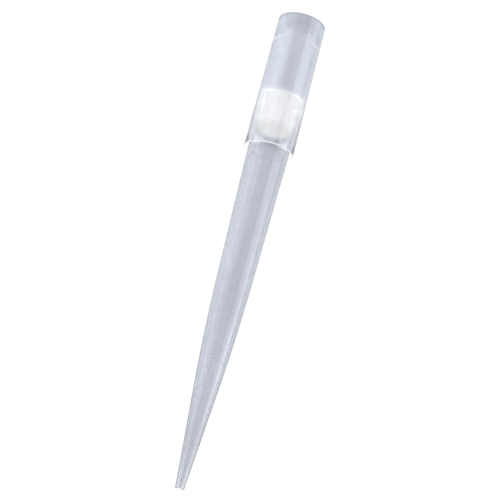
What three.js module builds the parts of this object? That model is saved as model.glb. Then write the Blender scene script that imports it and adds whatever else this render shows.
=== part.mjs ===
import * as THREE from 'three';

// Filter pipette tip of the 1000 microlitre class, in millimetres.
// It stands on its wide rim: the rim face is z = 0, the axis is +Z, the orifice is at the top.
// "Depth" is a distance from the rim face along the axis.

// Driving dimensions: lengths along the axis.
const OVERALL_LENGTH = 87.6;
const LEAD_IN_DEPTH = 1.0;
const SEAL_LEDGE_DEPTH = 4.8;
const SEAL_LEDGE_RUN = 0.25;
const FILTER_DEPTH = 15.5;
const FILTER_LENGTH = 6.2;
const SKIRT_FOOT_DEPTH = 25.5;
const POCKET_LENGTH = 7.6;
const KNEE_DEPTH = 59.45;
const KNEE_BLEND_LENGTH = 9.0;

// Driving dimensions: across the axis.
const BARREL_TOP_DIAMETER = 7.39;
const BARREL_HALF_ANGLE_DEG = 1.25;
const ORIFICE_OUTER_DIAMETER = 1.55;
const COLLAR_FLARE = 0.145;
const LEAD_IN_WIDTH = 0.2;
const SEAL_LEDGE_WIDTH = 0.08;

// Driving dimensions: walls and gaps, each measured on one side of the axis.
const MOUTH_WALL = 0.7;
const COLLAR_WALL = 0.93;
const BARREL_WALL = 0.6;
const KNEE_WALL = 0.52;
const ORIFICE_WALL = 0.35;
const SKIRT_WALL = 0.34;
const POCKET_MOUTH_GAP = 0.41;
const POCKET_ROOT_GAP = 0.2;

// Edge radii.
const RIM_EDGE_RADIUS = 0.3;
const SKIRT_EDGE_RADIUS = 0.1;
const ORIFICE_EDGE_RADIUS = 0.08;
const FILTER_TOP_EDGE_RADIUS = 0.4;
const FILTER_FOOT_EDGE_RADIUS = 0.5;

// The plug is pressed into the bore; this is the gap left between the two solids.
const FILTER_CLEARANCE = 0.03;

// Facets round the axis, in each quarter round of an edge, and along the knee.
const TURN_SEGMENTS = 72;
const EDGE_STEPS = 3;
const KNEE_STEPS = 8;

// Places that follow from the driving dimensions.
const filterFootDepth = FILTER_DEPTH + FILTER_LENGTH;
const pocketRootDepth = SKIRT_FOOT_DEPTH - POCKET_LENGTH;
const barrelSlope = Math.tan(THREE.MathUtils.degToRad(BARREL_HALF_ANGLE_DEG));
const skirtFootRadius = barrelRadius(SKIRT_FOOT_DEPTH) + POCKET_MOUTH_GAP + SKIRT_WALL;
const rimRadius = skirtFootRadius - COLLAR_FLARE;
const orificeRadius = ORIFICE_OUTER_DIAMETER / 2;

// Outside radius of the upper barrel, which also runs on up inside the skirt.
function barrelRadius(depth) {
  return BARREL_TOP_DIAMETER / 2 - barrelSlope * (depth - SKIRT_FOOT_DEPTH);
}

// Outside radius of the collar, which flares evenly from the rim to the foot of the skirt.
function collarRadius(depth) {
  return rimRadius + COLLAR_FLARE * depth / SKIRT_FOOT_DEPTH;
}

// A point of a half section: its radius and its depth.
function point(radius, depth) {
  return new THREE.Vector2(radius, depth);
}

// Rounds the corner between two straight runs, with an edge radius limited by the shorter run.
function roundedCorner(before, corner, after, edgeRadius) {
  const back = before.clone().sub(corner);
  const onward = after.clone().sub(corner);
  const halfAngle = Math.acos(back.dot(onward) / (back.length() * onward.length())) / 2;
  const shorterRun = Math.min(back.length(), onward.length());
  const tangentLength = Math.min(edgeRadius / Math.tan(halfAngle), shorterRun / 2);
  return blend(
    corner.clone().addScaledVector(back.normalize(), tangentLength),
    corner,
    corner.clone().addScaledVector(onward.normalize(), tangentLength),
    EDGE_STEPS,
  );
}

// A smooth bend between two tangent points, drawn towards the corner where their tangents meet.
function blend(start, corner, end, steps) {
  return new THREE.QuadraticBezierCurve(start, corner, end).getPoints(steps);
}

// The bend between the upper and the lower cone of one wall surface.
function kneeBend(top, knee, tip) {
  const along = (from, to) => knee.clone().lerp(to, KNEE_BLEND_LENGTH / Math.abs(to.y - from.y));
  return blend(along(knee, top), knee, along(knee, tip), KNEE_STEPS);
}

// Turns a closed half section about the axis.
function turned(halfSection) {
  const geometry = new THREE.LatheGeometry(halfSection, TURN_SEGMENTS);
  geometry.rotateX(Math.PI / 2);
  return geometry;
}

// Corners of the bore, from the mouth of the socket down to the orifice.
function boreCorners() {
  const socketRadius = collarRadius(LEAD_IN_DEPTH) - MOUTH_WALL;
  const filterTopRadius = collarRadius(FILTER_DEPTH) - COLLAR_WALL;
  const ledgeRadius = THREE.MathUtils.mapLinear(
    SEAL_LEDGE_DEPTH, LEAD_IN_DEPTH, FILTER_DEPTH, socketRadius, filterTopRadius + SEAL_LEDGE_WIDTH,
  );
  return {
    mouth: point(socketRadius + LEAD_IN_WIDTH, 0),
    socket: point(socketRadius, LEAD_IN_DEPTH),
    ledgeStart: point(ledgeRadius, SEAL_LEDGE_DEPTH),
    ledgeEnd: point(ledgeRadius - SEAL_LEDGE_WIDTH, SEAL_LEDGE_DEPTH + SEAL_LEDGE_RUN),
    filterTop: point(filterTopRadius, FILTER_DEPTH),
    filterFoot: point(barrelRadius(filterFootDepth) - BARREL_WALL, filterFootDepth),
    knee: point(barrelRadius(KNEE_DEPTH) - KNEE_WALL, KNEE_DEPTH),
    orifice: point(orificeRadius - ORIFICE_WALL, OVERALL_LENGTH),
  };
}

const bore = boreCorners();

// The one-piece moulding: rim, collar, overhanging skirt, two-stage barrel and orifice.
function tipBodySection() {
  const rim = point(rimRadius, 0);
  const skirtFoot = point(skirtFootRadius, SKIRT_FOOT_DEPTH);
  const pocketMouth = point(skirtFootRadius - SKIRT_WALL, SKIRT_FOOT_DEPTH);
  const pocketRoot = point(barrelRadius(pocketRootDepth) + POCKET_ROOT_GAP, pocketRootDepth);
  const barrelRoot = point(barrelRadius(pocketRootDepth), pocketRootDepth);
  const knee = point(barrelRadius(KNEE_DEPTH), KNEE_DEPTH);
  const orifice = point(orificeRadius, OVERALL_LENGTH);
  const outside = [
    ...roundedCorner(bore.mouth, rim, skirtFoot, RIM_EDGE_RADIUS),
    ...roundedCorner(rim, skirtFoot, pocketMouth, SKIRT_EDGE_RADIUS),
    ...roundedCorner(skirtFoot, pocketMouth, pocketRoot, SKIRT_EDGE_RADIUS),
    ...roundedCorner(pocketMouth, pocketRoot, barrelRoot, POCKET_ROOT_GAP / 2),
    ...roundedCorner(pocketRoot, barrelRoot, knee, POCKET_ROOT_GAP / 2),
    ...kneeBend(barrelRoot, knee, orifice),
    ...roundedCorner(knee, orifice, bore.orifice, ORIFICE_EDGE_RADIUS),
  ];
  const inside = [
    bore.orifice,
    ...kneeBend(bore.orifice, bore.knee, bore.filterFoot),
    bore.filterFoot,
    bore.filterTop,
    bore.ledgeEnd,
    bore.ledgeStart,
    bore.socket,
    bore.mouth,
  ];
  return [...outside, ...inside, outside[0]];
}

// The porous plug: it fills the tapering bore and has softened edges.
function filterPlugSection() {
  const axisTop = point(0, FILTER_DEPTH);
  const top = point(bore.filterTop.x - FILTER_CLEARANCE, FILTER_DEPTH);
  const foot = point(bore.filterFoot.x - FILTER_CLEARANCE, filterFootDepth);
  const axisFoot = point(0, filterFootDepth);
  return [
    axisTop,
    ...roundedCorner(axisTop, top, foot, FILTER_TOP_EDGE_RADIUS),
    ...roundedCorner(top, foot, axisFoot, FILTER_FOOT_EDGE_RADIUS),
    axisFoot,
  ];
}

function piece(name, geometry, finish) {
  const mesh = new THREE.Mesh(geometry, new THREE.MeshStandardMaterial(finish));
  mesh.name = name;
  return mesh;
}

const pipetteTip = new THREE.Group();
pipetteTip.add(
  piece('tip_body', turned(tipBodySection()), { color: 0xcfd3de, roughness: 0.25, metalness: 0 }),
  piece('filter_plug', turned(filterPlugSection()), { color: 0xf3f4f6, roughness: 0.95, metalness: 0 }),
);

export default pipetteTip;
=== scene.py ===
"""A filter pipette tip of the 1000 microlitre class, standing on its wide rim in a small white studio.

The milky polypropylene moulding and the porous plug in its bore are turned from half sections, round the
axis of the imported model. Sizes of the tip are in millimetres, and the studio is in metres.
"""
import logging
import math
from dataclasses import dataclass
from enum import Enum

import bmesh
import bpy
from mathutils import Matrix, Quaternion, Vector


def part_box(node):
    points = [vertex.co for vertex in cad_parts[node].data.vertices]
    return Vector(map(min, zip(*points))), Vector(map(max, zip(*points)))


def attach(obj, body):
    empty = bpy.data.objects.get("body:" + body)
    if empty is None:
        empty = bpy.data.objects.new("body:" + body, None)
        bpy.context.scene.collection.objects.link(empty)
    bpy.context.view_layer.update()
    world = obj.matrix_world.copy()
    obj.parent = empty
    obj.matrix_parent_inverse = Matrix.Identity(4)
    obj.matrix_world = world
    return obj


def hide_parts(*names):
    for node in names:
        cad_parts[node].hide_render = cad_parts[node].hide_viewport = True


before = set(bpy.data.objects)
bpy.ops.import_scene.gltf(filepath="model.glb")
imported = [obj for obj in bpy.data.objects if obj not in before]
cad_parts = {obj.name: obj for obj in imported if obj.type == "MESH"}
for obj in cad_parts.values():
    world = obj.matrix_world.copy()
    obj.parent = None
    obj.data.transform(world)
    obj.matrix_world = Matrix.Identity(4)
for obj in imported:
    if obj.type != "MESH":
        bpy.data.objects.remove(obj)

log = logging.getLogger("pipette_tip")

MM = 0.001
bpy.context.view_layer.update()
BODY = "root"

# A colour is linear RGB. Stops and tints are tables by place: by slant, or by depth in millimetres.
Colour = tuple[float, float, float]
Stops = dict[float, float]
Tints = dict[float, Colour]
WHITE: Colour = (1.0, 1.0, 1.0)


class Slot(Enum):
    """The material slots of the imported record."""

    MOULDING = "polypropylene"
    PLUG = "porous_polyethylene"


# ---------------------------------------------------------------------------------------------------------
# Turning a half section
# ---------------------------------------------------------------------------------------------------------


@dataclass(frozen=True)
class Corner:
    """A corner of a half section, in millimetres.

    Args:
        radius: Distance from the axis.
        depth: Distance from the rim face along the axis.
        rounding: How far along both neighbouring runs the corner is cut back to round it.
        steps: Facets in the rounding.
    """

    radius: float
    depth: float
    rounding: float = 0.0
    steps: int = 6

    def place(self) -> Vector:
        """The corner's place in the XZ plane, in metres."""
        return Vector((self.radius, 0.0, self.depth)) * MM


@dataclass
class Turning:
    """Draws a half section by extruding one vertex from corner to corner, and spins it round the axis.

    Args:
        name: Name of the finished piece.
        corners: The half section, in order.
        closed: Whether the last corner joins the first. An open section starts and ends on the axis.
        turn_steps: Facets round the axis.
        merge_distance: Vertices closer than this are one.
        smooth_angle_deg: Edges sharper than this stay sharp.
    """

    name: str
    corners: list[Corner]
    closed: bool
    turn_steps: int = 240
    merge_distance: float = 1e-7
    smooth_angle_deg: float = 30.0

    def make(self) -> bpy.types.Object:
        """Turns the half section into a closed solid.

        Returns:
            The new object, at the origin, with smooth shading and outward normals.
        """
        piece = self._first_vertex()
        self._draw_outline(piece)
        self._round_corners(piece)
        self._spin()
        bpy.ops.object.mode_set(mode="OBJECT")
        self._smooth(piece)
        return piece

    def _first_vertex(self) -> bpy.types.Object:
        """Adds a plane at the first corner, merged to one vertex, and returns it in edit mode."""
        for other in bpy.context.selected_objects:
            other.select_set(False)
        bpy.ops.mesh.primitive_plane_add(size=MM, location=self.corners[0].place())
        bpy.ops.object.transform_apply(location=True, rotation=True, scale=True)
        piece = bpy.context.active_object
        piece.name = piece.data.name = self.name
        bpy.ops.object.mode_set(mode="EDIT")
        bpy.ops.mesh.select_mode(type="VERT")
        bpy.ops.mesh.select_all(action="SELECT")
        bpy.ops.mesh.merge(type="CENTER")
        return piece

    def _draw_outline(self, piece: bpy.types.Object) -> None:
        """Extrudes the vertex from corner to corner, and joins the ends of a closed section.

        Args:
            piece: The object with the first vertex, in edit mode.
        """
        for corner, following in zip(self.corners, self.corners[1:]):
            step = following.place() - corner.place()
            bpy.ops.mesh.extrude_region_move(TRANSFORM_OT_translate={"value": step})
        if self.closed:
            self._select_at(piece, [self.corners[0], self.corners[-1]])
            bpy.ops.mesh.edge_face_add()

    def _round_corners(self, piece: bpy.types.Object) -> None:
        """Bevels each corner that has a rounding into an arc.

        Args:
            piece: The object with the outline, in edit mode.
        """
        for corner in self.corners:
            if corner.rounding:
                self._select_at(piece, [corner])
                bpy.ops.mesh.bevel(
                    offset=corner.rounding * MM, segments=corner.steps, profile=0.5, affect="VERTICES"
                )

    def _select_at(self, piece: bpy.types.Object, corners: list[Corner]) -> None:
        """Selects only the vertices that lie at the given corners.

        Args:
            piece: The object being drawn, in edit mode.
            corners: Where the vertices are.
        """
        mesh = bmesh.from_edit_mesh(piece.data)
        for vertex in mesh.verts:
            vertex.select = any((vertex.co - c.place()).length < self.merge_distance for c in corners)
        mesh.select_flush_mode()
        bmesh.update_edit_mesh(piece.data)

    def _spin(self) -> None:
        """Spins the section once round the Z axis, merges seam and poles, and turns the faces outward."""
        bpy.ops.mesh.select_all(action="SELECT")
        bpy.ops.mesh.spin(steps=self.turn_steps, angle=math.tau, center=(0, 0, 0), axis=(0, 0, 1))
        bpy.ops.mesh.select_all(action="SELECT")
        bpy.ops.mesh.remove_doubles(threshold=self.merge_distance)
        bpy.ops.mesh.normals_make_consistent(inside=False)

    def _smooth(self, piece: bpy.types.Object) -> None:
        """Shades the piece smooth, with normals that stay true on the long walls beside small edges.

        Args:
            piece: The turned object.
        """
        bpy.ops.object.shade_smooth_by_angle(angle=math.radians(self.smooth_angle_deg))
        weighted = piece.modifiers.new("true_walls", "WEIGHTED_NORMAL")
        weighted.mode = "FACE_AREA"
        weighted.keep_sharp = True
        bpy.ops.object.modifier_apply(modifier=weighted.name)


# ---------------------------------------------------------------------------------------------------------
# Node trees
# ---------------------------------------------------------------------------------------------------------


def rgba(colour: Colour) -> tuple[float, float, float, float]:
    """A colour with full alpha, as a colour socket takes it."""
    return (*colour, 1.0)


@dataclass
class Graph:
    """Adds nodes to one node tree and joins them.

    Args:
        tree: The node tree of a material, a world or a group.
    """

    tree: bpy.types.NodeTree

    @classmethod
    def of(cls, block: bpy.types.Material | bpy.types.World) -> "Graph":
        """Switches a data block to nodes and returns its emptied tree."""
        block.use_nodes = True
        block.node_tree.nodes.clear()
        return cls(block.node_tree)

    def add(self, kind: str, values: dict | None = None, **settings: object) -> bpy.types.Node:
        """Adds a node.

        Args:
            kind: The node's type name.
            values: Input name or number to a plain value, or to the output socket that feeds it.
            **settings: The node's own properties.

        Returns:
            The new node.
        """
        node = self.tree.nodes.new(kind)
        for name, value in settings.items():
            setattr(node, name, value)
        for name, value in (values or {}).items():
            if isinstance(value, bpy.types.NodeSocket):
                self.tree.links.new(value, node.inputs[name])
            else:
                node.inputs[name].default_value = value
        return node

    def math(self, operation: str, first: object, second: object) -> bpy.types.NodeSocket:
        """Adds a Math node on two values or sockets and returns its output."""
        return self.add("ShaderNodeMath", {0: first, 1: second}, operation=operation).outputs[0]

    def mix_colours(
        self,
        factor: bpy.types.NodeSocket,
        first: Colour | bpy.types.NodeSocket,
        second: Colour | bpy.types.NodeSocket,
    ) -> bpy.types.NodeSocket:
        """Mixes two colours.

        Args:
            factor: Share of the second colour.
            first: Colour at 0.
            second: Colour at 1.

        Returns:
            The mixed colour.
        """
        colours = {6: first, 7: second}
        plain = {at: rgba(colour) for at, colour in colours.items() if isinstance(colour, tuple)}
        return self.add("ShaderNodeMix", {0: factor, **colours, **plain}, data_type="RGBA").outputs[2]

    def scale_colour(
        self, colour: bpy.types.NodeSocket, amount: bpy.types.NodeSocket
    ) -> bpy.types.NodeSocket:
        """Multiplies a colour by a number and returns the result."""
        return self.add("ShaderNodeVectorMath", {0: colour, 3: amount}, operation="SCALE").outputs[0]

    def ramp(self, factor: bpy.types.NodeSocket, stops: Tints) -> bpy.types.NodeSocket:
        """Blends from colour to colour.

        Args:
            factor: Place on the ramp, from 0 to 1.
            stops: Place to colour.

        Returns:
            The blended colour.
        """
        node = self.add("ShaderNodeValToRGB", {"Fac": factor})
        elements = node.color_ramp.elements
        elements.remove(elements[1])
        for index, (place, colour) in enumerate(sorted(stops.items())):
            element = elements.new(place) if index else elements[0]
            element.position = place
            element.color = rgba(colour)
        return node.outputs["Color"]

    def effect(self, group: bpy.types.NodeTree, values: dict) -> bpy.types.NodeOutputs:
        """Places a node group with its own values and returns its outputs."""
        return self.add("ShaderNodeGroup", values, node_tree=group).outputs

    def finish(self, output_kind: str, shader: bpy.types.NodeSocket) -> None:
        """Joins the shader to a new output node and spreads the nodes in a row.

        Args:
            output_kind: Type name of the output node.
            shader: What the surface shows.
        """
        self.add(output_kind, {"Surface": shader})
        self.lay_out()

    def lay_out(self) -> None:
        """Spreads the nodes in a row, in the order in which they were made."""
        for index, node in enumerate(self.tree.nodes):
            node.location = (220 * index, 0)


def new_group(name: str, inputs: dict[str, float], outputs: list[str]) -> bpy.types.NodeTree:
    """Makes an empty shader node group with named sockets, of which Vector comes first.

    Args:
        name: Name of the group.
        inputs: Number inputs and their default values.
        outputs: Number outputs.

    Returns:
        The new node tree.
    """
    tree = bpy.data.node_groups.new(name, "ShaderNodeTree")
    tree.interface.new_socket(name="Vector", in_out="INPUT", socket_type="NodeSocketVector")
    for label, default in inputs.items():
        socket = tree.interface.new_socket(name=label, in_out="INPUT", socket_type="NodeSocketFloat")
        socket.default_value = default
    for label in outputs:
        tree.interface.new_socket(name=label, in_out="OUTPUT", socket_type="NodeSocketFloat")
    return tree


def clouds_group() -> bpy.types.NodeTree:
    """Slow, soft variation between two values, such as haze in plastic or density in a sintered plug.

    Returns:
        The node group. Its output is Value.
    """
    tree = new_group("soft_clouds", {"Scale": 100.0, "Low": 0.0, "High": 1.0}, ["Value"])
    graph = Graph(tree)
    inside = graph.add("NodeGroupInput").outputs
    noise = graph.add(
        "ShaderNodeTexNoise",
        {"Vector": inside["Vector"], "Scale": inside["Scale"], "Detail": 3.0, "Roughness": 0.45},
    )
    spread = graph.add(
        "ShaderNodeMapRange",
        {
            "Value": noise.outputs["Fac"],
            "From Min": 0.3,
            "From Max": 0.7,
            "To Min": inside["Low"],
            "To Max": inside["High"],
        },
        interpolation_type="SMOOTHSTEP",
    )
    graph.add("NodeGroupOutput", {"Value": spread.outputs["Result"]})
    graph.lay_out()
    return tree


def grain_group(finer: float = 2.3) -> bpy.types.NodeTree:
    """Fine surface grain: packed granules with a finer noise over them.

    Args:
        finer: How many times finer the noise is than the granules.

    Returns:
        The node group. Its outputs are Height, and Gap, which is 1 in the crevices between granules.
    """
    tree = new_group("fine_grain", {"Scale": 4000.0, "Granules": 0.5}, ["Height", "Gap"])
    graph = Graph(tree)
    inside = graph.add("NodeGroupInput").outputs
    cells = graph.add(
        "ShaderNodeTexVoronoi",
        {"Vector": inside["Vector"], "Scale": inside["Scale"], "Smoothness": 0.6},
        feature="SMOOTH_F1",
    )
    noise_scale = graph.math("MULTIPLY", inside["Scale"], finer)
    noise = graph.add(
        "ShaderNodeTexNoise", {"Vector": inside["Vector"], "Scale": noise_scale, "Detail": 2.0}
    )
    domes = graph.math("SUBTRACT", 1.0, cells.outputs["Distance"])
    height = graph.add("ShaderNodeMix", {0: inside["Granules"], 2: noise.outputs["Fac"], 3: domes})
    gap = graph.add(
        "ShaderNodeMapRange", {"Value": cells.outputs["Distance"], "From Min": 0.45, "From Max": 0.8}
    )
    graph.add("NodeGroupOutput", {"Height": height.outputs[0], "Gap": gap.outputs["Result"]})
    graph.lay_out()
    return tree


@dataclass(frozen=True)
class Effects:
    """The node groups that more than one finish uses."""

    clouds: bpy.types.NodeTree
    grain: bpy.types.NodeTree

    @classmethod
    def build(cls) -> "Effects":
        """Makes each group once."""
        return cls(clouds=clouds_group(), grain=grain_group())


# ---------------------------------------------------------------------------------------------------------
# Tints and painted shade of the moulding
# ---------------------------------------------------------------------------------------------------------
# Polypropylene is see-through, with a cool milky haze. Light that crosses a wall aslant runs through more
# of it and comes out dimmer and bluer, so each table goes by slant: 0 is a wall seen face on, 1 is edge on.
# Most tables also hold painted shade and painted highlights: darker face on, with lighter painted bands at
# middle slants.


def between(stops: Stops, place: float) -> float:
    """The value at a place, on the straight line between the stops beside it.

    Args:
        stops: Place to value, in order.
        place: Where the value is wanted.

    Returns:
        The value, which past the last stop is that stop's own.
    """
    places = list(stops)
    for low, high in zip(places, places[1:]):
        if place < high:
            return stops[low] + (stops[high] - stops[low]) * (place - low) / (high - low)
    return stops[places[-1]]


def haze(brightness: Stops, blueness: Stops, green_share: float = 0.31) -> Tints:
    """The tints of cool haze for each slant, with the painted shade and painted highlights that the tables
    hold.

    Args:
        brightness: Share of the red light that comes through, by slant, with painted shade and painted
            highlights in it.
        blueness: Blue light to each part of red, by slant.
        green_share: How much of the blue's surplus over the red the green has.

    Returns:
        The colour by slant.
    """
    tints = {}
    for slant, red in brightness.items():
        surplus = red * (between(blueness, slant) - 1.0)
        tints[slant] = (red, min(1.0, red + green_share * surplus), min(1.0, red + surplus))
    return tints


COLLAR_BLUENESS = {0.0: 1.094, 0.264: 1.10, 0.345: 1.155, 0.478: 1.39, 0.62: 1.46, 0.7: 1.5}
BARREL_BLUENESS = {0.0: 1.094, 0.32: 1.10, 0.38: 1.18, 0.428: 1.27, 0.57: 1.4, 0.7: 1.5}
LOWER_BLUENESS = {0.0: 1.094, 0.24: 1.10, 0.3: 1.15, 0.36: 1.30, 0.5: 1.4, 0.65: 1.5}

CLEAR = {0.0: WHITE}
# Partly the plastic's cool tint, partly painted shade: darker face on, standing in for dim surroundings
# seen through the walls, with lighter painted bands at middle slants.
COLLAR_TINT_AND_SHADE = haze(
    {
        0.092: 0.575, 0.112: 0.64, 0.135: 0.715, 0.174: 0.79, 0.22: 0.73, 0.291: 0.61,
        0.369: 0.54, 0.498: 0.345, 0.637: 0.335, 0.7: 0.21, 1.0: 0.08,
    },
    COLLAR_BLUENESS,
)
# Painted lighter sides at the mouth.
MOUTH_TINT_AND_SHADE = haze(
    {
        0.095: 0.575, 0.112: 0.62, 0.135: 0.65, 0.174: 0.745, 0.22: 0.86, 0.291: 0.79,
        0.369: 0.74, 0.498: 0.53, 0.637: 0.38, 0.7: 0.24, 1.0: 0.08,
    },
    COLLAR_BLUENESS,
)
# Painted shade along the rim: darker than the collar face on.
RIM_TINT_AND_SHADE = haze({0.0: 0.3, 0.1: 0.36, 0.143: 0.5, 0.3: 0.6, 0.6: 0.3, 1.0: 0.08}, COLLAR_BLUENESS)
# Painted highlight: bright streaks where the bore's edges are seen aslant.
LEDGE_PAINTED_HIGHLIGHT = haze({0.092: 0.575, 0.13: 0.75, 0.18: 1.0, 0.6: 1.0, 0.8: 0.3}, COLLAR_BLUENESS)
BARREL_TINT_AND_SHADE = haze(
    {
        0.05: 0.79, 0.07: 0.85, 0.095: 0.9, 0.14: 0.925, 0.205: 0.92, 0.26: 0.82, 0.32: 0.71,
        0.38: 0.55, 0.428: 0.47, 0.57: 0.33, 0.7: 0.17, 1.0: 0.08,
    },
    BARREL_BLUENESS,
)
LOWER_TINT_AND_SHADE = haze(
    {
        0.0: 0.84, 0.04: 0.86, 0.08: 0.9, 0.16: 0.88, 0.24: 0.75, 0.3: 0.56, 0.36: 0.44,
        0.5: 0.32, 0.65: 0.13, 1.0: 0.06,
    },
    LOWER_BLUENESS,
)
ORIFICE_TINT_AND_SHADE = haze(
    {
        0.0: 0.78, 0.06: 0.76, 0.1: 0.66, 0.15: 0.6, 0.212: 0.5, 0.25: 0.38, 0.34: 0.24,
        0.53: 0.15, 0.65: 0.08, 1.0: 0.04,
    },
    LOWER_BLUENESS,
)
# Over the pocket: near clear face on, with painted shade darkening the skirt's edges.
SKIRT_TINT_AND_EDGE_SHADE = {
    0.18: (0.97, 0.975, 0.99),
    0.26: (0.93, 0.935, 0.95),
    0.36: (0.93, 0.935, 0.95),
    0.5: (0.8, 0.83, 0.9),
    0.6: (0.57, 0.6, 0.69),
    0.75: (0.12, 0.13, 0.16),
    1.0: (0.04, 0.045, 0.055),
}
# Painted shade below the plug: greyer face on, dark at the edges.
UNDER_PLUG_PAINTED_SHADE = {
    0.3: (0.8, 0.805, 0.81),
    0.45: (0.68, 0.71, 0.78),
    0.57: (0.44, 0.47, 0.57),
    0.66: (0.235, 0.253, 0.318),
    1.0: (0.045, 0.048, 0.06),
}
# Painted shade: dark lines along the skirt's edges down to its foot.
SKIRT_FOOT_EDGE_SHADE = {
    0.115: (0.76, 0.79, 0.87),
    0.15: (0.88, 0.905, 0.97),
    0.22: (0.88, 0.905, 0.97),
    0.3: (0.78, 0.81, 0.9),
    0.42: (0.74, 0.78, 0.9),
    0.5: (0.47, 0.505, 0.62),
    0.58: (0.205, 0.224, 0.282),
    0.7: (0.066, 0.073, 0.092),
    1.0: (0.02, 0.022, 0.03),
}
# Painted shadow on the barrel under the skirt's overhang.
SHADOW_UNDER_OVERHANG = {
    0.0: (0.62, 0.64, 0.7),
    0.12: (0.66, 0.68, 0.74),
    0.3: (0.85, 0.87, 0.92),
    1.0: (0.1, 0.11, 0.14),
}
# Painted highlight on the skirt's round foot, white face on, with painted shade edge on.
FOOT_HIGHLIGHT_AND_EDGE_SHADE = {0.5: (0.95, 0.96, 1.0), 0.7: (0.86, 0.88, 0.93)}


@dataclass(frozen=True)
class Zone:
    """A stretch of a surface with tints of its own, which fade into those around it.

    Args:
        shares: How strongly it shows, from 0 to 1, by depth in millimetres.
        tints: Its colour by slant.
    """

    shares: Stops
    tints: Tints

    @classmethod
    def over(
        cls,
        start: float,
        end: float,
        tints: Tints,
        fade_in: float = 0.0,
        fade_out: float = 0.0,
        share: float = 1.0,
    ) -> "Zone":
        """Makes a zone that shows evenly between two depths and fades beyond them.

        Args:
            start: Depth at which it starts to show evenly.
            end: Depth at which it stops.
            tints: Its colour by slant.
            fade_in: Length over which it comes in before its start. At 0 it also fills all before it.
            fade_out: Length over which it goes out after its end. At 0 it also fills all after it.
            share: How strongly it shows.

        Returns:
            The zone.
        """
        shares = {start: share, end: share}
        if fade_in:
            shares[start - fade_in] = 0.0
        if fade_out:
            shares[end + fade_out] = 0.0
        return cls(shares, tints)


# ---------------------------------------------------------------------------------------------------------
# Finishes
# ---------------------------------------------------------------------------------------------------------


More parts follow.
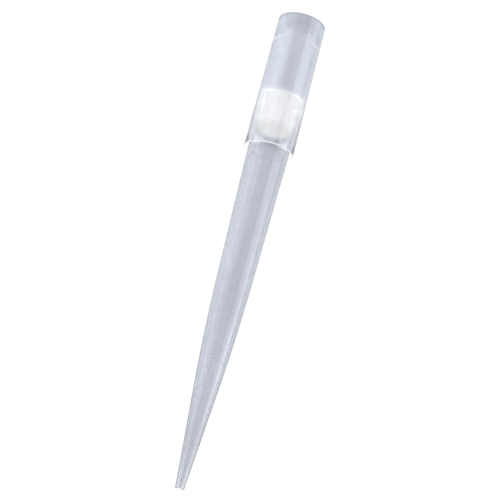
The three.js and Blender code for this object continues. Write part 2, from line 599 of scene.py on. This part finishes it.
@dataclass(frozen=True)
class MilkyPolypropylene:
    """One moulded surface of natural polypropylene: see-through, with a cool milky haze.

    Args:
        name: Name of the material.
        length: Length of the moulding, in millimetres.
        outer_tints: Colour from outside the plastic, by slant, partly painted shade and painted highlights.
        inner_tints: Colour from inside the plastic, by depth in millimetres, partly painted shade.
        zones: Stretches with outer tints of their own, each laid over those before it, most of them painted
            shade or painted highlights.
        transmission: Share of the light that goes through. The rest is scattered back as haze.
        smooth: Lowest roughness.
        dull: Highest roughness.
        ior: Refractive index.
        unevenness: How much darker the haziest streaks are.
        flow_stretch: How much longer the flow lines are along the axis than across it.
        streak_scale: Streaks of haze to the metre.
        gloss_scale: Dull patches to the metre.
        wave_scale: Slow waves of the moulded surface to the metre.
        wave_height: Height of those waves, in metres.
        grain_scale: Grains of the surface to the metre.
        grain_height: Height of the grains, in metres.
        granules: Share of round granules in the grain. The rest is noise.
    """

    name: str
    length: float
    outer_tints: Tints
    inner_tints: Tints
    zones: tuple[Zone, ...] = ()
    transmission: float = 1.0
    smooth: float = 0.07
    dull: float = 0.12
    ior: float = 1.49
    unevenness: float = 0.05
    flow_stretch: float = 12.0
    streak_scale: float = 900.0
    gloss_scale: float = 500.0
    wave_scale: float = 350.0
    wave_height: float = 1.5e-6
    grain_scale: float = 5000.0
    grain_height: float = 4e-7
    granules: float = 0.2

    def make(self, effects: Effects) -> bpy.types.Material:
        """Builds the material.

        Args:
            effects: The shared node groups.

        Returns:
            The material of this surface.
        """
        material = bpy.data.materials.new(self.name)
        graph = Graph.of(material)
        place = graph.add("ShaderNodeTexCoord").outputs["Object"]
        flow = graph.add(
            "ShaderNodeMapping", {"Vector": place, "Scale": (1.0, 1.0, 1.0 / self.flow_stretch)}
        ).outputs["Vector"]
        tint = self._tint(graph, place)
        streaks = graph.effect(
            effects.clouds,
            {"Vector": flow, "Scale": self.streak_scale, "Low": 1.0 - self.unevenness, "High": 1.0},
        )
        rough = graph.effect(
            effects.clouds,
            {"Vector": place, "Scale": self.gloss_scale, "Low": self.smooth, "High": self.dull},
        )
        shader = graph.add(
            "ShaderNodeBsdfPrincipled",
            {
                "Base Color": graph.scale_colour(tint, streaks["Value"]),
                "Roughness": rough["Value"],
                "IOR": self.ior,
                "Transmission Weight": self.transmission,
                "Normal": self._surface(graph, effects, place, flow),
            },
        )
        graph.finish("ShaderNodeOutputMaterial", shader.outputs["BSDF"])
        return material

    def _tint(self, graph: Graph, place: bpy.types.NodeSocket) -> bpy.types.NodeSocket:
        """Colour of the plastic, partly painted shade and painted highlights: by slant from outside, by
        depth from inside, and white in scattered light, so light that reaches matt surfaces through it is
        not dimmed.

        Args:
            graph: Node tree of the material.
            place: Place on the piece.

        Returns:
            The colour.
        """
        depth = graph.add("ShaderNodeSeparateXYZ", {"Vector": place}).outputs["Z"]
        along = graph.math("DIVIDE", depth, self.length * MM)
        inner = graph.ramp(along, {at / self.length: colour for at, colour in self.inner_tints.items()})
        slant = graph.add("ShaderNodeLayerWeight", {"Blend": 0.5}).outputs["Facing"]
        outer = graph.ramp(slant, self.outer_tints)
        for zone in self.zones:
            share = graph.ramp(along, {at / self.length: (value,) * 3 for at, value in zone.shares.items()})
            outer = graph.mix_colours(share, outer, graph.ramp(slant, zone.tints))
        behind = graph.add("ShaderNodeNewGeometry").outputs["Backfacing"]
        tint = graph.mix_colours(behind, outer, inner)
        bounces = graph.add("ShaderNodeLightPath").outputs["Diffuse Depth"]
        return graph.mix_colours(graph.math("GREATER_THAN", bounces, 0.5), tint, WHITE)

    def _surface(
        self,
        graph: Graph,
        effects: Effects,
        place: bpy.types.NodeSocket,
        flow: bpy.types.NodeSocket,
    ) -> bpy.types.NodeSocket:
        """Fine grain on the slow waves that the moulding leaves.

        Args:
            graph: Node tree of the material.
            effects: The shared node groups.
            place: Place on the piece.
            flow: The same place, drawn out along the flow of the plastic.

        Returns:
            The normal.
        """
        waves = graph.effect(effects.clouds, {"Vector": flow, "Scale": self.wave_scale})
        grain = graph.effect(
            effects.grain, {"Vector": place, "Scale": self.grain_scale, "Granules": self.granules}
        )
        wavy = graph.add(
            "ShaderNodeBump", {"Strength": 1.0, "Distance": self.wave_height, "Height": waves["Value"]}
        )
        surface = graph.add(
            "ShaderNodeBump",
            {
                "Strength": 1.0,
                "Distance": self.grain_height,
                "Height": grain["Height"],
                "Normal": wavy.outputs["Normal"],
            },
        )
        return surface.outputs["Normal"]


@dataclass(frozen=True)
class SinteredPolyethylene:
    """Porous polyethylene: small white granules fused together, quite matt.

    Args:
        bright: Colour of the granules.
        shaded: Colour in the crevices.
        smooth: Lowest roughness.
        dull: Highest roughness.
        gloss_scale: Dull patches to the metre.
        grain_scale: Granules to the metre.
        grain_height: How far the granules stand out, in metres.
        granules: Share of round granules in the grain. The rest is noise.
    """

    bright: Colour = (0.93, 0.94, 0.95)
    shaded: Colour = (0.84, 0.85, 0.88)
    smooth: float = 0.8
    dull: float = 0.9
    gloss_scale: float = 700.0
    grain_scale: float = 4500.0
    grain_height: float = 4e-5
    granules: float = 0.7

    def make(self, effects: Effects) -> bpy.types.Material:
        """Builds the material.

        Args:
            effects: The shared node groups.

        Returns:
            The material of the plug.
        """
        material = bpy.data.materials.new("sintered_polyethylene")
        graph = Graph.of(material)
        place = graph.add("ShaderNodeTexCoord").outputs["Object"]
        grain = graph.effect(
            effects.grain, {"Vector": place, "Scale": self.grain_scale, "Granules": self.granules}
        )
        rough = graph.effect(
            effects.clouds,
            {"Vector": place, "Scale": self.gloss_scale, "Low": self.smooth, "High": self.dull},
        )
        surface = graph.add(
            "ShaderNodeBump", {"Strength": 1.0, "Distance": self.grain_height, "Height": grain["Height"]}
        )
        shader = graph.add(
            "ShaderNodeBsdfPrincipled",
            {
                "Base Color": graph.mix_colours(grain["Gap"], self.bright, self.shaded),
                "Roughness": rough["Value"],
                "Normal": surface.outputs["Normal"],
            },
        )
        graph.finish("ShaderNodeOutputMaterial", shader.outputs["BSDF"])
        return material


# ---------------------------------------------------------------------------------------------------------
# The pieces
# ---------------------------------------------------------------------------------------------------------


@dataclass
class TipMoulding:
    """The one-piece moulding: rim, collar, overhanging skirt, two-stage barrel and orifice, in millimetres.

    Args:
        length: From the rim face to the orifice.
        foot_radius: Outside radius of the collar at the foot of the skirt, its widest place.
    """

    length: float
    foot_radius: float

    # The collar, its skirt and the pocket behind the skirt.
    collar_flare: float = 0.145
    skirt_foot: float = 25.65
    skirt_wall: float = 0.34
    pocket_length: float = 7.6
    pocket_mouth_gap: float = 0.41
    pocket_bend_gap: float = 0.26
    pocket_bend_height: float = 2.2
    pocket_root_gap: float = 0.02

    # The barrel.
    barrel_half_angle_deg: float = 1.25
    knee: float = 59.45
    knee_blend: float = 9.0
    knee_steps: int = 24
    orifice_radius: float = 0.775

    # The bore, and the depths between which the plug sits in it.
    lead_in_depth: float = 1.0
    lead_in_width: float = 0.2
    ledge_depth: float = 4.8
    ledge_run: float = 0.25
    ledge_width: float = 0.13
    plug_top: float = 15.5
    plug_foot: float = 21.7

    # Thickness of the wall at each place.
    mouth_wall: float = 0.7
    collar_wall: float = 0.93
    barrel_wall: float = 0.6
    knee_wall: float = 0.52
    orifice_wall: float = 0.35

    # Roundings. That of the pocket's root is a share of its gap.
    rim_rounding: float = 0.3
    edge_rounding: float = 0.1
    foot_rounding: float = 0.12
    ledge_rounding: float = 0.03
    pocket_bend_rounding: float = 1.5
    root_rounding_share: float = 0.476
    orifice_rounding: float = 0.08

    # Where one finish ends and the next begins: shares of a wall from its outer face, and of the foot's
    # rounding from its outer edge.
    face_margin: float = 0.01
    clear_foot_share: float = 0.29
    pocket_split: float = 0.6
    mouth_split: float = 0.7
    barrel_split: float = 0.5

    @classmethod
    def from_frame(cls) -> "TipMoulding":
        """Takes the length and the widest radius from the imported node."""
        low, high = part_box("tip_body")
        return cls(length=(high.z - low.z) / MM, foot_radius=high.x / MM)

    @property
    def pocket_root(self) -> float:
        """Depth at which the pocket behind the skirt ends."""
        return self.skirt_foot - self.pocket_length

    def collar_radius(self, depth: float) -> float:
        """Outside radius of the collar, which flares evenly to the foot of the skirt."""
        return self.foot_radius - self.collar_flare * (1.0 - depth / self.skirt_foot)

    def barrel_radius(self, depth: float) -> float:
        """Outside radius of the upper barrel, which also runs on up inside the skirt."""
        top_radius = self.foot_radius - self.skirt_wall - self.pocket_mouth_gap
        return top_radius - math.tan(math.radians(self.barrel_half_angle_deg)) * (depth - self.skirt_foot)

    def bore_radius(self, depth: float) -> float:
        """Radius of the bore along the plug, which tapers evenly."""
        top = self.collar_radius(self.plug_top) - self.collar_wall
        foot = self.barrel_radius(self.plug_foot) - self.barrel_wall
        return top + (foot - top) * (depth - self.plug_top) / (self.plug_foot - self.plug_top)

    def outside(self) -> list[Corner]:
        """Corners from the rim down the skirt, through its pocket and along the barrel to the orifice."""
        bend = self.pocket_root + self.pocket_bend_height
        bend_radius = self.barrel_radius(bend) + self.pocket_bend_gap
        root_radius = self.barrel_radius(self.pocket_root)
        root_rounding = self.pocket_root_gap * self.root_rounding_share
        return [
            Corner(self.collar_radius(0.0), 0.0, self.rim_rounding, 8),
            Corner(self.foot_radius, self.skirt_foot, self.foot_rounding),
            Corner(self.foot_radius - self.skirt_wall, self.skirt_foot, self.foot_rounding),
            Corner(bend_radius, bend, self.pocket_bend_rounding, 8),
            Corner(root_radius + self.pocket_root_gap, self.pocket_root, root_rounding),
            Corner(root_radius, self.pocket_root, root_rounding),
            Corner(self.barrel_radius(self.knee), self.knee, self.knee_blend, self.knee_steps),
            Corner(self.orifice_radius, self.length, self.orifice_rounding),
        ]

    def bore(self) -> list[Corner]:
        """Corners from the orifice up the bore, past the plug and the sealing ledge to the mouth."""
        socket_radius = self.collar_radius(self.lead_in_depth) - self.mouth_wall
        above_plug = self.bore_radius(self.plug_top)
        share = (self.ledge_depth - self.lead_in_depth) / (self.plug_top - self.lead_in_depth)
        ledge_radius = socket_radius + (above_plug + self.ledge_width - socket_radius) * share
        ledge_foot = self.ledge_depth + self.ledge_run
        knee_radius = self.barrel_radius(self.knee) - self.knee_wall
        return [
            Corner(self.orifice_radius - self.orifice_wall, self.length),
            Corner(knee_radius, self.knee, self.knee_blend, self.knee_steps),
            Corner(self.bore_radius(self.plug_foot), self.plug_foot),
            Corner(above_plug, self.plug_top),
            Corner(ledge_radius - self.ledge_width, ledge_foot, self.ledge_rounding, 3),
            Corner(ledge_radius, self.ledge_depth, self.ledge_rounding, 3),
            Corner(socket_radius, self.lead_in_depth, self.rim_rounding, 4),
            Corner(socket_radius + self.lead_in_width, 0.0, self.edge_rounding, 4),
        ]

    def build(self) -> bpy.types.Object:
        """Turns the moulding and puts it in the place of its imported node."""
        piece = Turning("tip_moulding", self.outside() + self.bore(), closed=True).make()
        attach(piece, BODY)
        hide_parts("tip_body")
        return piece

    def dress(self, piece: bpy.types.Object, effects: Effects) -> None:
        """Gives the outside, the pocket behind the skirt, the bore and the skirt's foot their own finish.

        Args:
            piece: The moulding.
            effects: The shared node groups.
        """
        for finish in (self.outside_finish(), self.pocket_finish(), self.bore_finish(), self.foot_finish()):
            piece.data.materials.append(finish.make(effects))
        bpy.context.view_layer.objects.active = piece
        bpy.ops.object.mode_set(mode="EDIT")
        bpy.ops.mesh.select_mode(type="FACE")
        for slot, belongs in enumerate((self.in_pocket, self.in_bore, self.at_skirt_foot), start=1):
            mesh = bmesh.from_edit_mesh(piece.data)
            for face in mesh.faces:
                centre = face.calc_center_median() / MM
                face.select_set(belongs(centre.xy.length, centre.z))
            bmesh.update_edit_mesh(piece.data)
            piece.active_material_index = slot
            bpy.ops.object.material_slot_assign()
        bpy.ops.object.mode_set(mode="OBJECT")

    def in_pocket(self, radius: float, depth: float) -> bool:
        """Whether a face belongs to the pocket behind the skirt, or lies further in at its depth."""
        reach = self.foot_radius - self.skirt_wall * self.pocket_split
        return radius < reach and self.pocket_root - self.face_margin < depth < self.skirt_foot

    def in_bore(self, radius: float, depth: float) -> bool:
        """Whether a face belongs to the bore: it lies in the inner part of the wall."""
        if depth < self.plug_top:
            return radius < self.collar_radius(depth) - self.mouth_wall * self.mouth_split
        if depth < self.knee:
            return radius < self.barrel_radius(depth) - self.knee_wall * self.barrel_split
        share = (depth - self.knee) / (self.length - self.knee)
        start = self.barrel_radius(self.knee) - self.knee_wall * self.barrel_split
        end = self.orifice_radius - self.orifice_wall * self.barrel_split
        return radius < start + (end - start) * share

    def at_skirt_foot(self, radius: float, depth: float) -> bool:
        """Whether a face belongs to the round foot of the skirt, apart from its clear outer edge."""
        inner_edge = self.foot_radius - self.skirt_wall - self.face_margin
        outer_edge = self.foot_radius - self.foot_rounding * self.clear_foot_share
        return inner_edge < radius < outer_edge and depth > self.skirt_foot - self.foot_rounding

    def outside_zones(self) -> tuple[Zone, ...]:
        """The stretches of the outside that look different from the collar, most of them painted shade or
        painted highlights.
        """
        foot_edge = self.skirt_foot - 0.05
        over_pocket = {
            self.plug_top - 0.9: 0.0,
            self.plug_top - 0.1: 0.72,
            self.pocket_root - 0.15: 0.72,
            self.pocket_root + 0.25: 1.0,
            foot_edge: 1.0,
            foot_edge + 0.08: 0.0,
        }
        # Painted shadow just below the skirt's foot, fading down the barrel.
        shadow_below_foot = {
            self.skirt_foot - 0.15: 0.0,
            self.skirt_foot + 0.05: 0.9,
            self.skirt_foot + 0.55: 0.8,
            self.skirt_foot + 1.75: 0.0,
        }
        long_barrel_end = self.knee - 11.45
        under_plug = self.plug_foot + 0.5
        return (
            # Painted lighter sides at the mouth, and painted shade along the rim.
            Zone.over(0.0, 2.2, MOUTH_TINT_AND_SHADE, fade_out=1.2),
            Zone.over(0.0, 0.2, RIM_TINT_AND_SHADE, fade_out=0.2, share=0.9),
            # Painted shade along the skirt's edges over the pocket.
            Zone(over_pocket, SKIRT_TINT_AND_EDGE_SHADE),
            # Tint and painted shade down the barrel, by slant.
            Zone.over(foot_edge, long_barrel_end, BARREL_TINT_AND_SHADE, fade_in=0.2, fade_out=10.0),
            Zone.over(long_barrel_end + 14.0, self.length, LOWER_TINT_AND_SHADE, fade_in=14.0),
            Zone.over(self.length - 7.6, self.length, ORIFICE_TINT_AND_SHADE, fade_in=14.0),
            # Painted highlights over the lead-in and the ledge in the bore.
            self._painted_edge_highlight(self.lead_in_depth, self.lead_in_depth),
            self._painted_edge_highlight(self.ledge_depth + 0.1, self.ledge_depth + self.ledge_run - 0.1),
            # Painted shadow under the skirt's overhang.
            Zone(shadow_below_foot, SHADOW_UNDER_OVERHANG),
            # Painted shade below the plug.
            Zone.over(under_plug, foot_edge, UNDER_PLUG_PAINTED_SHADE, fade_in=1.2, fade_out=0.08),
            # Painted shade along the skirt's edges at its foot.
            Zone.over(foot_edge - 1.1, foot_edge, SKIRT_FOOT_EDGE_SHADE, fade_in=0.6, fade_out=0.08),
        )

    @staticmethod
    def _painted_edge_highlight(start: float, end: float, reach: float = 0.15) -> Zone:
        """A painted highlight: a bright line on the outside over an edge in the bore.

        Args:
            start: Depth at which the edge starts.
            end: Depth at which it ends.
            reach: How far the line shows beyond the edge, and then fades.

        Returns:
            The zone of the line.
        """
        return Zone.over(start - reach, end + reach, LEDGE_PAINTED_HIGHLIGHT, fade_in=reach, fade_out=reach, share=0.5)

    def outside_finish(self) -> MilkyPolypropylene:
        """The outside, which is a little duller than the bore."""
        return MilkyPolypropylene(
            "polypropylene_outside",
            self.length,
            COLLAR_TINT_AND_SHADE,
            CLEAR,
            self.outside_zones(),
            smooth=0.18,
            dull=0.24,
        )

    def pocket_finish(self) -> MilkyPolypropylene:
        """The pocket between the skirt and the barrel, which is clear and polished."""
        return MilkyPolypropylene("polypropylene_pocket", self.length, CLEAR, CLEAR)

    def foot_finish(self) -> MilkyPolypropylene:
        """The round foot of the skirt, opaque and white, standing in for a painted highlight along its
        rounded edge, with painted shade where it is seen edge on.
        """
        return MilkyPolypropylene(
            "polypropylene_edge",
            self.length,
            FOOT_HIGHLIGHT_AND_EDGE_SHADE,
            CLEAR,
            transmission=0.0,
            smooth=0.4,
            dull=0.5,
        )

    def bore_finish(self) -> MilkyPolypropylene:
        """The bore. From inside the plastic its colour goes by depth, partly tint and partly painted shade:
        darkest at the rim, where it stands for the shadow under the mouth, and clear where the plug sits.
        From the hollow it is near white, with painted shade round the plug and just below it.
        """
        # Partly tint, partly painted shade by depth: darkest at the rim for the shadow under the mouth.
        clear, rim, collar, barrel = WHITE, (0.25, 0.275, 0.352), (0.365, 0.4, 0.5), (0.235, 0.256, 0.32)
        tint_and_shade_by_depth = {
            self.ledge_depth - 2.8: rim,
            self.ledge_depth - 1.0: collar,
            self.plug_top - 0.2: collar,
            self.plug_top: clear,
            self.skirt_foot - 0.6: clear,
            self.skirt_foot - 0.1: barrel,
        }
        # Painted shade on the bore round the plug and just below it.
        shade_around_plug = Zone(
            {
                self.plug_top - 0.5: 0.0,
                self.plug_top - 0.1: 1.0,
                self.plug_foot + 0.6: 1.0,
                self.plug_foot + 1.9: 0.0,
            },
            {0.0: (0.14, 0.152, 0.2)},
        )
        near_white = {0.0: (0.97, 0.97, 0.98)}
        return MilkyPolypropylene(
            "polypropylene_bore", self.length, near_white, tint_and_shade_by_depth, (shade_around_plug,)
        )


@dataclass
class FilterPlug:
    """The porous plug in the bore, in millimetres.

    Args:
        top: Depth of its upper face.
        foot: Depth of its lower face.
        top_radius: Radius at the upper face, before its edge is softened.
        foot_radius: Radius at the lower face.
        rounding: Softening of both edges.
    """

    top: float
    foot: float
    top_radius: float
    foot_radius: float
    rounding: float = 0.3

    @classmethod
    def inside(cls, moulding: TipMoulding, clearance: float = 0.03) -> "FilterPlug":
        """Takes the plug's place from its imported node, and its taper from the bore.

        Args:
            moulding: The moulding that holds the plug.
            clearance: Gap left between the plug and the bore.

        Returns:
            The plug.
        """
        low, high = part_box("filter_plug")
        top, foot = low.z / MM, high.z / MM
        top_radius, foot_radius = (moulding.bore_radius(depth) - clearance for depth in (top, foot))
        return cls(top, foot, top_radius, foot_radius)

    def build(self) -> bpy.types.Object:
        """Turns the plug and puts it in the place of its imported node."""
        corners = [
            Corner(0.0, self.top),
            Corner(self.top_radius, self.top, self.rounding, 8),
            Corner(self.foot_radius, self.foot, self.rounding, 8),
            Corner(0.0, self.foot),
        ]
        piece = Turning("filter", corners, closed=False).make()
        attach(piece, BODY)
        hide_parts("filter_plug")
        return piece

    @staticmethod
    def dress(piece: bpy.types.Object, effects: Effects) -> None:
        """Gives the plug its finish.

        Args:
            piece: The plug.
            effects: The shared node groups.
        """
        piece.data.materials.append(SinteredPolyethylene().make(effects))


# ---------------------------------------------------------------------------------------------------------
# The studio
# ---------------------------------------------------------------------------------------------------------


@dataclass(frozen=True)
class Softbox:
    """A tall rectangular lamp that faces the tip's axis.

    Args:
        name: Name of the lamp.
        azimuth_deg: Where it stands round the axis. 0 is the camera's side and 90 is toward -X.
        spread_deg: Angle that its width takes up, seen from the axis.
        radiance: Brightness of its face, where white paper under it would be 1.
        elevation_deg: How far above the horizon it stands, seen from the tip.
        height: Height of its face.
        distance: Distance from the axis.
        centre_height: Height of its centre over the floor.
    """

    name: str
    azimuth_deg: float
    spread_deg: float
    radiance: float
    elevation_deg: float = 0.0
    height: float = 1.2
    distance: float = 0.5
    centre_height: float = 0.0

    def build(self) -> bpy.types.Object:
        """Adds the lamp, with the power that gives its face the wanted brightness."""
        azimuth = math.radians(self.azimuth_deg)
        elevation = math.radians(self.elevation_deg)
        level = Vector((-math.sin(azimuth), -math.cos(azimuth), 0.0))
        outward = level * math.cos(elevation) + Vector((0.0, 0.0, math.sin(elevation)))
        data = bpy.data.lights.new(self.name, "AREA")
        width = 2.0 * self.distance * math.tan(math.radians(self.spread_deg) / 2.0)
        data.shape = "RECTANGLE"
        data.size = width
        data.size_y = self.height
        data.energy = self.radiance * math.pi * width * self.height
        lamp = bpy.data.objects.new(self.name, data)
        lamp.location = outward * self.distance + Vector((0.0, 0.0, self.centre_height))
        lamp.rotation_euler = outward.to_track_quat("Z", "Y").to_euler()
        lamp.visible_camera = False
        bpy.context.scene.collection.objects.link(lamp)
        return lamp


@dataclass(frozen=True)
class Studio:
    """The white room: what is seen is plain white, and what lights the tip is softer.

    Args:
        fill: Brightness of the room for light that reaches matt surfaces.
        floor_size: Side of the square floor.
        floor_glow: Share of the floor's white that no shadow takes away.
        floor_card: Reflectance of the part of the floor that shows shadows.
        floor_bounce: Reflectance of the floor for the light that it sends up to the tip.
        bounces: How often light may pass or leave a surface, because it crosses up to eight walls.
        glossy_bounces: How often it may be reflected inside the walls.
    """

    fill: float = 0.35
    floor_size: float = 6.0
    floor_glow: float = 0.93
    floor_card: float = 0.16
    floor_bounce: float = 0.8
    bounces: int = 48
    glossy_bounces: int = 24

    def build(self) -> None:
        """Makes the world, the floor and the lamps."""
        self._world()
        self._floor()
        for lamp in (
            Softbox("left_key", azimuth_deg=-38.0, spread_deg=30.0, radiance=1.12),
            Softbox("left_side", azimuth_deg=-70.0, spread_deg=25.0, radiance=0.85),
            Softbox("left_far", azimuth_deg=-106.0, spread_deg=19.0, radiance=1.1),
            Softbox("front", azimuth_deg=0.0, spread_deg=45.0, radiance=0.63),
            Softbox("right_key", azimuth_deg=51.0, spread_deg=20.0, radiance=1.05),
            Softbox("right_side", azimuth_deg=79.0, spread_deg=22.0, radiance=0.84),
            Softbox("right_far", azimuth_deg=102.0, spread_deg=20.0, radiance=0.35),
            Softbox(
                "right_low",
                azimuth_deg=89.0,
                spread_deg=30.0,
                radiance=2.1,
                height=0.225,
                centre_height=0.033,
            ),
            Softbox("back_left", azimuth_deg=-165.0, spread_deg=15.0, radiance=0.52),
            Softbox("back_right", azimuth_deg=165.0, spread_deg=15.0, radiance=0.38),
            Softbox(
                "overhead",
                azimuth_deg=0.0,
                spread_deg=45.0,
                radiance=2.2,
                elevation_deg=90.0,
                height=0.42,
            ),
        ):
            lamp.build()
        bpy.context.scene.view_settings.view_transform = "Standard"
        light = bpy.context.scene.cycles
        light.max_bounces = self.bounces
        light.transmission_bounces = self.bounces
        light.glossy_bounces = self.glossy_bounces
        light.blur_glossy = 0.0

    def _world(self) -> None:
        """White where it is seen, directly or through the tip, and dimmer as a light."""
        world = bpy.data.worlds.new("white_room")
        bpy.context.scene.world = world
        graph = Graph.of(world)
        rays = graph.add("ShaderNodeLightPath").outputs
        seen = graph.math("MAXIMUM", rays["Is Camera Ray"], rays["Is Glossy Ray"])
        seen = graph.math("MAXIMUM", seen, rays["Is Transmission Ray"])
        unscattered = graph.math("LESS_THAN", rays["Diffuse Depth"], 0.5)
        seen = graph.math("MULTIPLY", seen, unscattered)
        lighting = graph.add("ShaderNodeBackground", {"Color": rgba(WHITE), "Strength": self.fill})
        backdrop = graph.add("ShaderNodeBackground", {"Color": rgba(WHITE), "Strength": 1.0})
        both = graph.add(
            "ShaderNodeMixShader", {0: seen, 1: lighting.outputs[0], 2: backdrop.outputs[0]}
        )
        graph.finish("ShaderNodeOutputWorld", both.outputs[0])

    def _floor(self) -> None:
        """A white floor under the tip that shows its soft shadow."""
        bpy.ops.mesh.primitive_plane_add(size=self.floor_size)
        floor = bpy.context.active_object
        floor.name = "floor"
        material = bpy.data.materials.new("white_floor")
        graph = Graph.of(material)
        rays = graph.add("ShaderNodeLightPath").outputs
        card = graph.add("ShaderNodeBsdfDiffuse", {"Color": rgba((self.floor_card,) * 3)})
        glow = graph.add("ShaderNodeEmission", {"Strength": self.floor_glow})
        shown = graph.add("ShaderNodeAddShader", {0: card.outputs[0], 1: glow.outputs[0]})
        bounce = graph.add("ShaderNodeBsdfDiffuse", {"Color": rgba((self.floor_bounce,) * 3)})
        both = graph.add(
            "ShaderNodeMixShader", {0: rays["Is Camera Ray"], 1: bounce.outputs[0], 2: shown.outputs[0]}
        )
        graph.finish("ShaderNodeOutputMaterial", both.outputs[0])
        floor.data.materials.append(material)
        floor.visible_glossy = False
        floor.visible_transmission = False
        floor.visible_shadow = False


@dataclass(frozen=True)
class Viewpoint:
    """The camera: a long lens above the rim's side, rolled until the orifice hangs low on the left.

    Args:
        lens_mm: Focal length.
        distance: Distance from the aim.
        elevation_deg: How far above the floor the camera looks from.
        roll_deg: Turn about the line of sight.
        aim_height: Height of the aim over the floor.
        aim_aside: How far the aim lies beside the axis, along X.
    """

    lens_mm: float = 144.0
    distance: float = 0.34396
    elevation_deg: float = 19.365
    roll_deg: float = -165.315
    aim_height: float = 0.04416
    aim_aside: float = -0.00127

    def build(self) -> None:
        """Adds the camera and makes it the scene's own."""
        elevation = math.radians(self.elevation_deg)
        aim = Vector((self.aim_aside, 0.0, self.aim_height))
        place = Vector((0.0, -math.cos(elevation), math.sin(elevation))) * self.distance
        place.z += self.aim_height
        level = (aim - place).to_track_quat("-Z", "Y")
        roll = Quaternion((0.0, 0.0, 1.0), math.radians(self.roll_deg))
        data = bpy.data.cameras.new("camera")
        data.lens = self.lens_mm
        data.clip_start = 0.01
        camera = bpy.data.objects.new("camera", data)
        camera.rotation_mode = "QUATERNION"
        camera.rotation_quaternion = level @ roll
        camera.location = place
        bpy.context.scene.collection.objects.link(camera)
        bpy.context.scene.camera = camera


def main() -> None:
    """Builds the camera, the studio, the moulding and its plug."""
    Viewpoint().build()
    Studio().build()
    effects = Effects.build()
    moulding = TipMoulding.from_frame()
    plug = FilterPlug.inside(moulding)
    for part in (moulding, plug):
        piece = part.build()
        part.dress(piece, effects)
        log.info("%s: %d faces", piece.name, len(piece.data.polygons))


if __name__ == "__main__":
    logging.basicConfig(level=logging.INFO)
    main()
